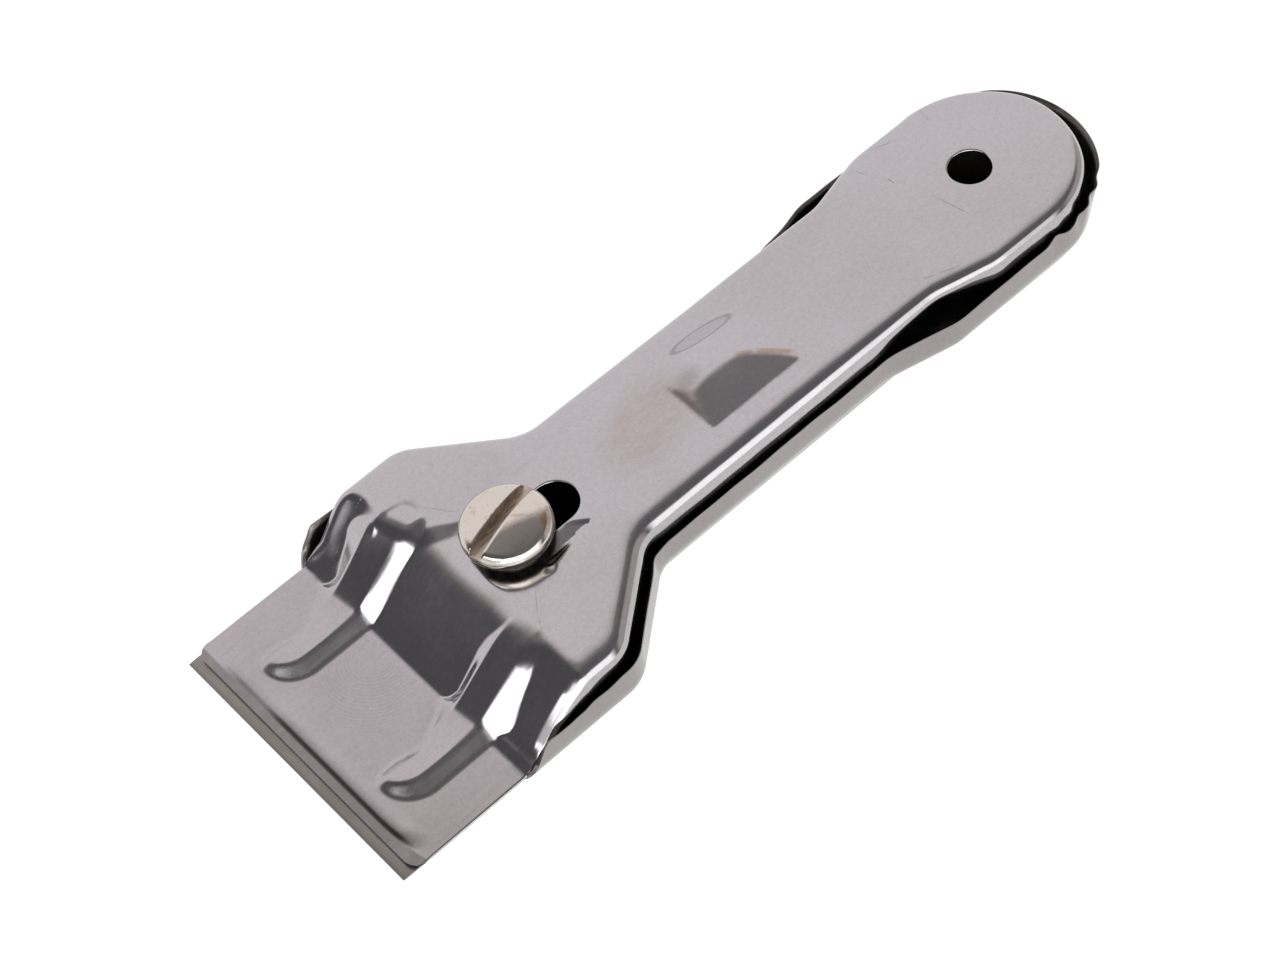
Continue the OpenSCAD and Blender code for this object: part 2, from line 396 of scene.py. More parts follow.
def bright_sheet(name, gain, rough, cover):
    """Bright pressed stainless sheet: fine grain, hair scratches, smears."""
    mat = bpy.data.materials.new(name)
    nt, b = nodes_of(mat)
    t = Tree(nt)
    b.inputs["Metallic"].default_value = 1.0
    grain = t.noise(t.coords((1, 1, 1)), 2600, 2, 0.6)
    fine = t.noise(t.coords((1, 1, 1), loc=(0.11, 0.37, 0.2)), 5200, 2, 0.7)
    mottle = t.noise(t.coords((1, 1, 1), loc=(0.9, 0.2, 0.4)), 1500, 3, 0.65)
    streak = t.noise(t.coords((160, 2600, 900), rot=(0, 0, 0.16)), 1.0, 3, 0.6)
    cross = t.noise(t.coords((2400, 130, 900), rot=(0, 0, 0.5)), 1.0, 3, 0.6)
    smear = t.noise(t.coords((1, 1, 1), loc=(0.3, 0.1, 0)), 95, 3, 0.55, 0.6)
    cloud = t.noise(t.coords((1, 1, 1), loc=(0.7, 0.4, 0)), 38, 2, 0.5)
    # colour: a faint warm and cool drift, grain, and a darker speck here and there
    lo, hi = (0.402, 0.386, 0.392), (0.430, 0.416, 0.428)
    tone = t.mix(t.ramp(cloud, 0.3, 0.7), (*[gain * v for v in lo], 1), (*[gain * v for v in hi], 1))
    tone = t.mix(t.ramp(fine, 0.30, 0.70, 0.0, 0.17), tone, (*[gain * v for v in (0.22, 0.20, 0.20)], 1))
    tone = t.mix(t.ramp(mottle, 0.35, 0.70, 0.0, 0.13), tone, (*[gain * v for v in (0.60, 0.58, 0.59)], 1))
    speck = t.ramp(t.noise(t.coords((1, 1, 1), loc=(0.2, 0.9, 0)), 900, 1, 0.4), 0.70, 0.78)
    tone = t.mix(t.math("MULTIPLY", speck, 0.16), tone, (0.25, 0.24, 0.23, 1))
    x, y, z = t.place()
    if cover:
        wob = t.noise(t.coords((1, 1, 1), loc=(0.5, 0.5, 0)), 700, 2, 0.5)
        # darker, rubbed strip along the lip's front edge
        bow = t.math("MAXIMUM", t.math("SUBTRACT", y, 13.0), 0.0)
        d = t.math("MULTIPLY_ADD", t.math("MULTIPLY", bow, bow), 0.0125)
        t.put(d.node.inputs[2], x)
        d = t.math("ADD", d, 2.75)
        fade = t.math("ADD", t.ramp(y, -18.5, -13.5, 0.0, 0.52), t.ramp(y, -9.5, -5.0, 0.0, 0.48))
        fade = t.math("MULTIPLY", fade, t.ramp(y, 20.2, 16.8))
        strip = t.math("MULTIPLY", t.ramp(d, 0.0, 0.35), t.ramp(wob, 0.2, 0.6, 0.8, 1.0))
        tone = t.tint(strip, tone, (0.60, 0.575, 0.57, 1))
        # swirls left by fingers on the lip
        wave = t.node("ShaderNodeTexWave", wave_type="RINGS", rings_direction="Z")
        mp = t.node("ShaderNodeMapping", vector_type="TEXTURE")
        mp.inputs["Location"].default_value = ((FRONT - 16.5) * 1e-3, -0.0045, 0.0014)
        mp.inputs["Scale"].default_value = (1e-3, 1e-3, 1e-3)
        tc = t.node("ShaderNodeTexCoord")
        nt.links.new(tc.outputs["Object"], mp.inputs[0])
        nt.links.new(mp.outputs[0], wave.inputs["Vector"])
        wave.inputs["Scale"].default_value = 0.62
        wave.inputs["Distortion"].default_value = 4.5
        wave.inputs["Detail"].default_value = 2.0
        wave.inputs["Detail Scale"].default_value = 0.35
        print_area = t.math("MULTIPLY", t.ramp(t.ellipse((-12.5, -1.5), 7.0, 9.0), 1.0, 0.4), t.ramp(cloud, 0.3, 0.6, 0.4, 1.0))
        print_area = t.math("MULTIPLY", print_area, t.ramp(t.ellipse((-16.5, -4.5), 1.0, 1.0), 0.8, 3.0))
        tone = t.tint(t.math("MULTIPLY", print_area, wave.outputs["Fac"]), tone, (0.935, 0.925, 0.915, 1))
        tone = t.tint(t.ramp(x, -20.0, -17.5), tone, (0.94, 0.915, 0.91, 1))
        # a warm handling smear beside the pad, painted reflection and shade about the pad, and a lens-shaped darker
        # mark
        skin = t.noise(t.coords((260, 1500, 900), rot=(0, 0, -0.75)), 1.0, 2, 0.6, 0.8)
        smudge = t.math("MULTIPLY", t.ramp(t.ellipse((-60.0, -0.6), 10.5, 6.6, 0.35), 1.0, 0.45), t.ramp(skin, 0.3, 0.65, 0.55, 1.0))
        tone = t.tint(smudge, tone, (0.90, 0.85, 0.81, 1))
        # painted reflection: two warm brown lines along the pad's upper edge, where the wall's warm fringe shows
        tone = t.tint(t.line((-73.6, 0.2), (-76.2, 1.6), 0.5, 0.5), tone, (0.84, 0.74, 0.64, 1))
        tone = t.tint(t.line((-75.8, 1.3), (-79.9, 5.4), 0.6, 0.5), tone, (0.80, 0.68, 0.56, 1))
        # painted shade: a soft grey patch in front of the pad's nose
        tone = t.tint(t.ramp(t.ellipse((-67.2, -1.2), 3.4, 2.2, 0.3), 1.0, 0.2), tone, (0.80, 0.78, 0.77, 1))
        # a lens-shaped mark beside the pad: a little darker inside, with a darker outline
        lens = t.ellipse((-73.6, -5.75), 4.6, 1.05, -0.114)
        ring = t.math("MULTIPLY", t.ramp(lens, 0.80, 0.95), t.ramp(lens, 1.12, 1.0))
        tone = t.tint(t.ramp(lens, 1.05, 0.9), tone, (0.90, 0.90, 0.91, 1))
        tone = t.tint(ring, tone, (0.72, 0.70, 0.70, 1))
        # painted shade in the crease behind the lip's front edge: a soft band and a near-black core line
        shade = t.math("MULTIPLY", t.ramp(d, -1.7, -0.1), t.ramp(d, 0.3, 0.05))
        tone = t.tint(t.math("MULTIPLY", shade, fade), tone, (0.66, 0.65, 0.66, 1))
        crease_shade_core = t.ramp(t.math("ABSOLUTE", t.math("ADD", d, 0.14)), 0.50, 0.12, 0.0, 0.92)
        tone = t.mix(t.math("MULTIPLY", crease_shade_core, fade), tone, (0.06, 0.055, 0.055, 1))
        for a, e, w, k in SCRATCHES:
            mark = t.math("MULTIPLY", t.line(a, e, w), t.ramp(wob, 0.25, 0.6, 0.3, 1.0))
            tone = t.mix(t.math("MULTIPLY", mark, k), tone, (0.10, 0.095, 0.095, 1))
    else:
        # painted shade: the tray's colour darker towards the floor
        tone = t.tint(t.ramp(z, 3.4, 0.8), tone, (0.66, 0.65, 0.65, 1))
        tone = t.tint(t.ramp(cloud, 0.2, 0.5, 0.6, 1.0), tone, (1.0, 0.955, 0.94, 1))
    t.put(b.inputs["Base Color"], tone)
    r = t.math("MULTIPLY_ADD", t.ramp(smear, 0.3, 0.75), 0.055)
    r.node.inputs[2].default_value = rough
    r2 = t.math("MULTIPLY_ADD", t.ramp(streak, 0.35, 0.75), 0.035)
    t.put(r2.node.inputs[2], r)
    if cover:
        r2 = t.math("ADD", r2, t.ramp(x, -20.0, -17.5, 0.0, 0.09))
    t.put(b.inputs["Roughness"], r2)
    n1 = t.bump(grain, 0.20, 0.004)
    n2 = t.bump(streak, 0.10, 0.004, n1)
    n3 = t.bump(cross, 0.06, 0.004, n2)
    t.put(b.inputs["Normal"], n3)
    return mat


def dull_sheet_painted_shade():
    """Inside of the pressings: unpolished, its darker base colour painted shade for the narrow hollows."""
    mat = bpy.data.materials.new("dull_sheet_painted_shade")
    nt, b = nodes_of(mat)
    t = Tree(nt)
    b.inputs["Metallic"].default_value = 1.0
    film = t.noise(t.coords((1, 1, 1)), 160, 4, 0.6, 0.4)
    t.put(b.inputs["Base Color"], t.mix(t.ramp(film, 0.3, 0.7), (0.115, 0.108, 0.10, 1), (0.20, 0.19, 0.18, 1)))
    t.put(b.inputs["Roughness"], t.ramp(film, 0.2, 0.8, 0.26, 0.42))
    t.put(b.inputs["Normal"], t.bump(t.noise(t.coords((1, 1, 1)), 2200, 2, 0.6), 0.15, 0.006))
    return mat


def nickel():
    """Nickel plate with a warm cast, tan stains and fine pits."""
    mat = bpy.data.materials.new("nickel_plate")
    nt, b = nodes_of(mat)
    t = Tree(nt)
    b.inputs["Metallic"].default_value = 1.0
    stain = t.noise(t.coords((1, 1, 1), loc=(0.013, 0.021, 0)), 420, 4, 0.6, 0.5)
    pits = t.noise(t.coords((1, 1, 1), loc=(0.4, 0.1, 0)), 3200, 2, 0.5)
    tone = t.mix(t.ramp(stain, 0.58, 0.78), (0.555, 0.515, 0.465, 1), (0.44, 0.33, 0.23, 1))
    tan = t.ramp(t.ellipse((-40.3, 3.5), 1.5, 0.9, 0.8), 1.0, 0.3, 0.0, 0.75)
    tone = t.mix(tan, tone, (0.44, 0.31, 0.22, 1))
    tone = t.mix(t.ramp(pits, 0.66, 0.74), tone, (0.30, 0.27, 0.23, 1))
    t.put(b.inputs["Base Color"], tone)
    t.put(b.inputs["Roughness"], t.ramp(stain, 0.35, 0.8, 0.06, 0.20))
    t.put(b.inputs["Normal"], t.bump(pits, 0.12, 0.006, t.bump(stain, 0.15, 0.012)))
    return mat


def underhead_shade():
    """Nickel darkened as painted shade under the head."""
    mat = bpy.data.materials.new("nickel_painted_shade")
    nt, b = nodes_of(mat)
    t = Tree(nt)
    b.inputs["Metallic"].default_value = 1.0
    n = t.noise(t.coords((1, 1, 1), loc=(0.2, 0.3, 0)), 900, 4, 0.6, 0.4)
    t.put(b.inputs["Base Color"], t.mix(t.ramp(n, 0.3, 0.7), (0.10, 0.085, 0.07, 1), (0.19, 0.165, 0.14, 1)))
    t.put(b.inputs["Roughness"], t.ramp(n, 0.2, 0.8, 0.28, 0.45))
    t.put(b.inputs["Normal"], t.bump(n, 0.2, 0.02))
    return mat


def slot_dirt():
    """Sawn bottom and sides of the driver slot: brownish and rough."""
    mat = bpy.data.materials.new("slot_cut")
    nt, b = nodes_of(mat)
    t = Tree(nt)
    b.inputs["Metallic"].default_value = 1.0
    n = t.noise(t.coords((500, 3000, 3000), rot=(0, 0, -0.3)), 1.0, 3, 0.6)
    t.put(b.inputs["Base Color"], t.mix(t.ramp(n, 0.3, 0.7), (0.37, 0.305, 0.24, 1), (0.66, 0.58, 0.485, 1)))
    t.put(b.inputs["Roughness"], t.ramp(n, 0.2, 0.8, 0.30, 0.5))
    t.put(b.inputs["Normal"], t.bump(n, 0.3, 0.02))
    return mat


def blade_steel():
    """Matt ground carbon steel with brushed lines along the edge."""
    mat = bpy.data.materials.new("ground_blade")
    nt, b = nodes_of(mat)
    t = Tree(nt)
    b.inputs["Metallic"].default_value = 1.0
    lines = t.noise(t.coords((4200, 90, 500)), 1.0, 3, 0.65)
    cloud = t.noise(t.coords((1, 1, 1)), 120, 3, 0.55, 0.5)
    tone = t.mix(t.ramp(cloud, 0.3, 0.7), (0.245, 0.222, 0.202, 1), (0.295, 0.272, 0.252, 1))
    tone = t.mix(t.ramp(lines, 0.35, 0.7, 0.0, 0.5), tone, (0.27, 0.24, 0.215, 1))
    edge = t.line((-0.22, -22.0), (-0.22, 22.0), 0.36, 0.02)
    t.put(b.inputs["Base Color"], t.mix(edge, tone, (0.23, 0.215, 0.20, 1)))
    t.put(b.inputs["Roughness"], t.ramp(lines, 0.2, 0.8, 0.26, 0.42))
    t.put(b.inputs["Normal"], t.bump(lines, 0.25, 0.01))
    return mat


def zinc():
    """Dull zinc plate of the nut."""
    mat = bpy.data.materials.new("zinc_plate")
    nt, b = nodes_of(mat)
    t = Tree(nt)
    b.inputs["Metallic"].default_value = 1.0
    n = t.noise(t.coords((1, 1, 1)), 600, 3, 0.6, 0.3)
    t.put(b.inputs["Base Color"], t.mix(t.ramp(n, 0.3, 0.7), (0.36, 0.35, 0.33, 1), (0.48, 0.47, 0.44, 1)))
    t.put(b.inputs["Roughness"], t.ramp(n, 0.2, 0.8, 0.32, 0.5))
    t.put(b.inputs["Normal"], t.bump(n, 0.2, 0.02))
    return mat


SCRATCHES = (((-31.9, -12.5), (-35.1, -7.7), 0.09, 0.45), ((-34.3, 7.6), (-31.9, 10.9), 0.10, 0.35),
             ((-31.9, 10.8), (-30.6, 13.5), 0.09, 0.30), ((-109.0, -0.5), (-110.1, 6.6), 0.10, 0.50),
             ((-107.3, -6.7), (-107.4, -5.1), 0.16, 0.45), ((-109.9, -11.5), (-112.5, -10.5), 0.13, 0.40),
             ((-118.7, -12.1), (-117.9, -9.3), 0.13, 0.35), ((-105.4, -10.7), (-105.9, -9.1), 0.12, 0.40),
             ((-98.3, 8.8), (-100.2, 9.6), 0.13, 0.45), ((-100.2, 9.6), (-102.9, 10.7), 0.13, 0.40))
M_SHEET = bright_sheet("bright_sheet", 1.0, 0.105, True)
M_TRAY = bright_sheet("tray_sheet", 0.70, 0.16, False)
M_DULL_SHADE, M_NICKEL = dull_sheet_painted_shade(), nickel()
M_SLOT, M_BLADE, M_ZINC, M_UNDERHEAD_SHADE = slot_dirt(), blade_steel(), zinc(), underhead_shade()


# -------------------------------------------------------------- cover shape
PAD_X, PAD_Y, PAD_H = -70.5, -1.3, 1.05          # crest of the raised thumb pad
PAD_FRONT, PAD_REAR, PAD_FACE, PAD_END, PAD_NOSE = 0.0175, 0.0117, 0.140, 5.95, 0.47
HANG_R = 2.9
# ribs: flat top from, to; slopes of the far flank and of the near flank along the tool;
# rise at the top; rounding into the back; slant; tip's centre
FAR_FLANK = ((18.6, 20.4, 22.4, 24.8, 28.0), (0.40, 1.05, 0.78, 0.48, 0.38))
RIB_H, TIP_R = 1.4, 2.75
RIBS = ((-15.0, -10.35, FAR_FLANK, ((18.0, 20.0, 28.0), (0.72, 0.70, 0.48)), 1.15, 1.1, 0.22, -10.5),
        (9.0, 13.30, FAR_FLANK, ((18.0, 20.5, 24.0, 28.0), (0.68, 0.60, 0.50, 0.42)), 0.80, 1.9, 0.0, -10.3))


def edge_radius(x):
    """Radius of the cover's rolled edge, tighter towards the rear."""
    return np.interp(-x, [0, 11, 22, 75, 88, 112, 131], [0.9, 0.9, 2.0, 2.0, 1.72, 1.3, 1.3])


def top_x(y):
    """Where the ramp meets the back: a little askew."""
    return TOP_X + 0.10 * np.clip(y, -9.5, 9.5) - 0.3 * step(10.0, 14.0, y)


def ramp_line(x, top=TOP_X):
    return LIP_Z + (FOOT_X - x) * (BACK_Z - LIP_Z) / (FOOT_X - top)


def body_profile(x, top=TOP_X, press=0.0):
    """Side view without ribs: lip, ramp, back."""
    back = np.full_like(x, BACK_Z) - press
    return smin(smax(np.full_like(x, LIP_Z), ramp_line(x, top), 0.45), back, 1.9)


def back_press(x, y):
    """How far the front of the back is pressed down along a fold from the slot to a rib's root."""
    t = ((x + 33.9) * 0.59 + (y + 6.8) * 0.81) / 2.06
    along = (x + 33.9) * 0.81 - (y + 6.8) * 0.59
    down = smin(smax(t, np.zeros_like(t), 0.2), np.ones_like(t), 0.2)
    return 0.40 * down * step(-4.2, -1.4, along) * step(6.0, -4.5, y)


def rib_top(x, y, y0, y1, g0, g1, rise, soft, slant, tip):
    """Surface of one rib: flat top from y0 to y1, sloping off on the lip, where its end is round."""
    yc, turn = (y0 + y1) / 2, y1 - TIP_R
    up = np.interp(-x, [18.9, 28.7], [1.45, rise]) - slant * (y - yc) * step(-19.5, -28.0, x)
    top = smin(smax(np.full_like(x, LIP_Z + RIB_H), ramp_line(x) + up, 0.6), np.full_like(x, BACK_Z - 0.06), soft)
    end = step(-14.5, -8.2, x)
    far = top - (0.42 * step(-20.5, -11.0, x) - 0.24 * end) * np.clip(y1 - y, 0, None) - 0.34 * end * ease(turn - y, 0.5)
    far = far - np.interp(-x, *g0) * ease(y0 - y, 0.35)
    d = np.hypot(np.clip(x - tip, 0, None), np.where((y > turn) | (x > tip), (y - turn) * np.where(y < turn, 1.8, 1.0), 0)) - TIP_R
    return smin(far, top - np.interp(-x, *g1) * d, 0.35) - 0.25 * step(-30.5, -32.5, x)


def crease_x(y):
    """The pressed crease across the lip, bent back at one end."""
    return -2.75 - 0.0125 * np.clip(y - 13.0, 0, None) ** 2


def facet_foot(x):
    """Outer edge of the slanted facet beside the long slot."""
    return 5.89 + (x + 37.4) * 0.089


def cover_height(x, y):
    """Outer surface of the cover over the plan, without its rounded sides."""
    b = body_profile(x, top_x(y), back_press(x, y))
    # outside one rib the ramp is dished, outside the other it falls steeply at first
    dish = 0.35 * step(-30.5, -28.0, x) * step(-19.4, -21.0, x) + 0.3 * bell(x, -21.8, 1.8) * step(FOOT_X, FOOT_X - 1.5, x)
    b = b - dish * step(13.2, 15.8, y)
    start = -27.8 + 0.08 * (y + 17.6) ** 2
    fall = smin(smax(ramp_line(x), BACK_Z - 1.12 * (x - start), 0.8), np.full_like(x, BACK_Z), 1.2)
    fall = fall - 0.22 * step(-24.4, -22.4, x) * step(-19.6, -22.0, x) * bell(y, -18.0, 1.3)
    b = b + step(-11.5, -15.0, y) * np.where(x < -19.5, np.clip(fall - b, -0.3, None), 0)
    z = b
    for rib in RIBS:
        z = smax(z, rib_top(x, y, *rib), 0.12)
    # raised thumb pad: crowned along the handle, with one flat face and a crisp foot
    d = x - PAD_X
    crown = PAD_H - np.where(d > 0, PAD_FRONT, PAD_REAR) * d * d
    crown = ease(smin(crown, PAD_NOSE * (PAD_END - d), 0.4), 0.10)
    face = PAD_H - PAD_FACE * (y - PAD_Y)
    far = PAD_H + 0.21 * (y - PAD_Y)
    z = z + np.clip(smin(smin(crown, face, 0.16), far, 0.8), 0, None)
    # the sheet falls away a little on both sides of the long slot
    foot = facet_foot(x)
    rear = -42.05 - (y - 2.72) * 1.22 + 4.0 * np.clip(y - foot, 0, None)
    plus = step(rear - 0.35, rear + 0.35, x) * step(-36.6, -38.2, x)
    dip = np.where(y < foot, (y - 3.0) * 0.13, (foot - 3.0) * 0.13 - (y - foot) * 0.40)
    z = z - plus * np.clip(dip, 0, None) * (y > 0)
    minus = step(-47.0, -42.5, x) * step(-31.0, -34.0, x)
    dip = np.where(y > -6.2, (-3.2 - y) * 0.10, 0.30 - (-6.2 - y) * 0.031)
    z = z - minus * np.clip(dip, 0, None) * (y < 0)
    # small dent beside the head
    z = z - 0.10 * bell(x, -37.1, 0.6) * bell(y, 7.0, 0.45)
    # pressed crease behind the lip's front edge
    fade = step(20.5, 16.5, y) * (0.30 + 0.70 * step(-9.5, -4.5, y)) * step(-18.5, -14.5, y)
    d = x - crease_x(y)
    fall = np.clip(d + 1.0, 0, 1.0)
    fold = 0.12 * step(-3.0, -1.2, d) - 0.20 * fall * fall
    z = z + fade * fold
    # broken edges of the slot and the hanging hole
    d = np.hypot(x - HANG_X, y) - HANG_R
    z = z - np.where(d < 0.22, 0.22 - np.sqrt(np.clip(0.22 ** 2 - (0.22 - np.clip(d, 0, 0.22)) ** 2, 0, None)), 0) * 0.6
    dx = np.clip(np.maximum(-43.9 - x, x + 36.7), 0, None)
    d = np.hypot(dx, y) - 3.2
    z = z - np.where(d < 0.22, 0.22 - np.sqrt(np.clip(0.22 ** 2 - (0.22 - np.clip(d, 0, 0.22)) ** 2, 0, None)), 0) * 0.6
    # the sheet is never quite flat
    wave = (0.012 * np.sin(x * 0.52 + 0.6 * np.sin(y * 0.21)) + 0.010 * np.sin(y * 0.47 + x * 0.19 + 1.3)
            + 0.006 * np.sin(x * 0.93 - y * 0.71 + 0.4))
    return z + wave * (0.35 + 0.65 * step(-19.5, -31.0, x))


def cover_shift(x, y):
    """The pressing is a little out of true towards the rear."""
    c = 0.0095 * ease(-50.0 - x, 6.0)
    return c * np.clip(np.abs(y) / 9.0, 0, 1)


def build_cover():
    half, tan = path([(-1.5, 0, 0), (-1.5, 21.9, 2.0), (-36.05, 21.9, 6.0),
                      (-48.45, 11.5, 6.0), (-98.0, 11.2, 10.0), (-107.0, 13.45, 10.0), (-116.85, 13.45, 0)], 0.42)
    a, b = rear_arc(-116.85, 13.45, 44)
    P, T = mirrored(half + a, tan + b, True)
    N = np.c_[-T[:, 1], T[:, 0]]                       # inwards
    n = len(P)
    R = edge_radius(P[:, 0])
    roll = np.interp(-P[:, 0], [0, 11, 22, 131], [0.4, 0.4, 1.4, 1.4])
    r_eff = np.minimum(R, 0.8 * np.clip(body_profile(P[:, 0]) - LIP_Z - 0.01, 0, None))
    r_eff = np.maximum(r_eff, 0.24 * step(-2.2, -4.5, P[:, 0]))
    a0 = math.radians(3.4)
    rings = []
    # the back sinks a little before it rolls over into the side
    for s in (0, 0.34, 0.68):
        q = P + N * (R * (1 - math.sin(a0)) + roll * (1 - s))[:, None]
        z = cover_height(q[:, 0], q[:, 1]) - 0.5 * math.tan(a0) * roll * s * s * r_eff / R
        rings.append(np.c_[q, z])
    for an in np.radians([3.4, 10, 18, 27, 36, 45, 54, 63, 72, 81, 90]):
        d = R * (1 - math.sin(an))
        q = P + N * d[:, None]
        e = np.clip(r_eff - d, 0, None)
        z = cover_height(q[:, 0], q[:, 1]) - 0.5 * math.tan(a0) * roll * r_eff / R
        z = z - (r_eff - np.sqrt(np.clip(r_eff ** 2 - e ** 2, 0, None)))
        rings.append(np.c_[q, z])
    last = rings[-1][:, 2]
    low = np.where(P[:, 0] > FOOT_X, last, np.minimum(last, LIP_Z - 0.7 * step(-29.4, -30.6, P[:, 0])))
    for k in range(1, 9):
        rings.append(np.c_[P, last + (low - last) * k / 8])
    outer = rings[0][:, :2]
    slot, hang = stadium(-43.9, -36.7, 3.2, 31), circle(HANG_X, 0, HANG_R, 72)
    extra = [stadium(-43.9, -36.7, 3.2 + d, 31) for d in (0.04, 0.11, 0.22)]
    extra += [circle(HANG_X, 0, HANG_R + d, 72) for d in (0.04, 0.11, 0.22)]
    # free points: finer where the sheet is shaped, with lines along the folds
    fx = np.concatenate([np.arange(-2.0, -4.4, -0.16), np.arange(-4.6, -18.0, -0.34), np.arange(-18.2, -31.2, -0.20),
                         np.arange(-31.4, -48.0, -0.34), np.arange(-48.5, -64.4, -0.6), np.arange(-64.6, -82.0, -0.36),
                         np.arange(-82.5, -129.5, -0.6)])
    pts = []
    for i, x in enumerate(fx):
        dy = 0.24 if -31.2 < x < -18 else 0.30 if x > -48 else (0.36 if -82.2 < x < -64 else 0.6)
        y = np.arange(0.5 * dy, 21.9, dy)
        y = np.concatenate([-y[::-1], y])
        pts.append(np.c_[np.full(len(y), x), y])
    # lines along the pad's foot and crest
    front, rear = PAD_END, -math.sqrt(PAD_H / PAD_REAR)
    low = PAD_Y + PAD_H / PAD_FACE
    foot = [np.c_[np.linspace(PAD_X + rear, PAD_X + front, 46), np.full(46, low)],
            np.c_[np.full(28, PAD_X + front), np.linspace(-4.0, low - 0.4, 28)],
            np.c_[np.full(28, PAD_X + rear), np.linspace(-4.0, low - 0.4, 28)]]
    d = np.concatenate([np.linspace(rear * 0.97, -0.5, 32), np.linspace(0.3, front * 0.985, 34)])
    rise = np.minimum(PAD_H - np.where(d > 0, PAD_FRONT, PAD_REAR) * d * d, PAD_NOSE * (PAD_END - d))
    foot.append(np.c_[PAD_X + d, PAD_Y + (PAD_H - rise) / PAD_FACE])
    sx = np.linspace(-45.6, -31.0, 46)
    foot += [np.c_[sx, np.full(46, -6.2)], np.c_[sx, facet_foot(sx)]]
    foot = np.vstack(foot)
    pts = np.vstack(pts)
    pts = pts[inside(outer, pts)]
    pts = pts[~near(pts, foot, 0.16)]
    pts = np.vstack([pts, foot])
    loops = np.vstack([outer, slot, hang, *extra])
    pts = pts[~near(pts, loops, 0.16)]
    pts = pts[(np.hypot(pts[:, 0] - HANG_X, pts[:, 1]) > HANG_R + 0.3)]
    ddx = np.clip(np.maximum(-43.9 - pts[:, 0], pts[:, 0] + 36.7), 0, None)
    pts = pts[np.hypot(ddx, pts[:, 1]) > 3.45]
    V, F, ring0 = fill(outer, [slot, hang], extra, pts)
    verts = [np.c_[V, cover_height(V[:, 0], V[:, 1])]]
    base = len(V)
    idx = [ring0]
    for k in range(1, len(rings)):
        verts.append(rings[k])
        idx.append(base + np.arange(n))
        base += n
    faces = [tuple(f) for f in F]
    for k in range(1, len(idx)):
        i0, i1 = idx[k - 1], idx[k]
        j0, j1 = np.roll(i0, -1), np.roll(i1, -1)
        faces += list(zip(i0, i1, j1, j0))
    verts = np.vstack(verts)
    verts[:, 1] += cover_shift(verts[:, 0], verts[:, 1])
    obj = make("cover_shell", verts, faces, "cover", "shell_steel", [M_SHEET, M_DULL_SHADE])
    thicken(obj, SHEET, 1, 0)
    return obj


# --------------------------------------------------------------- tray shape
R_TRAY = 3.4


def tray_top(x, y):
    """Height of the flange's wavy upper edge, cut off at a slant in front."""
    z = np.interp(-x, [17.8, 22, 26, 30, 34, 40, 50, 54, 62, 70, 78, 87, 94, 104, 118, 133],
                  [6.3, 6.1, 5.85, 6.0, 6.6, 6.5, 6.2, 6.1, 6.2, 6.1, 6.1, 6.15, 6.35, 6.3, 6.4, 6.4])
    z = z - np.where(y < 0, 0.15, 0.0)
    z = z + 0.07 * np.sin(x * 0.33 + np.where(y > 0, 0.0, 2.1)) + 0.04 * np.sin(x * 0.9 + 1.0)
    z = z + np.where(y > 0, 0.45 * bell(x, -116.2, 1.1) - 0.3 * bell(x, -118.4, 1.0), 0)
    front = np.where(y > 0, 2.0 + (-19.4 - x) * 1.48, 1.35 + (-18.7 - x) * 1.42)
    return np.maximum(smin(z, front, 0.5), 0.02)


def tray_lean(x, y, f):
    """How far the flange leans outwards (inwards if negative), f = 0 at its root, 1 at its edge."""
    w = -0.30 * bell(x, -116.4, 1.3) * (y > 0)
    w = w - 0.5 * bell(x, -121.2, 1.1) - 0.55 * bell(x, -124.6, 1.0) + 0.0 * y
    w = w - 0.35 * bell(x, -127.6, 0.9) - 0.3 * bell(x, -48.2, 1.0) - 0.25 * bell(x, -30.0, 1.5)
    w = w - 0.08 * (0.5 + 0.5 * np.sin(x * 0.41 + np.where(y > 0, 0.7, 2.9)))
    return w * f ** 1.4


def floor_height(x, y):
    """Underside of the tray's floor with the two pips pressed up into the blade."""
    z = np.zeros_like(x)
    for s in (-1, 1):
        d = np.hypot(x + 11.0, y - s * 12.9)
        z = z + 0.72 * step(1.9, 1.1, d)
    return z


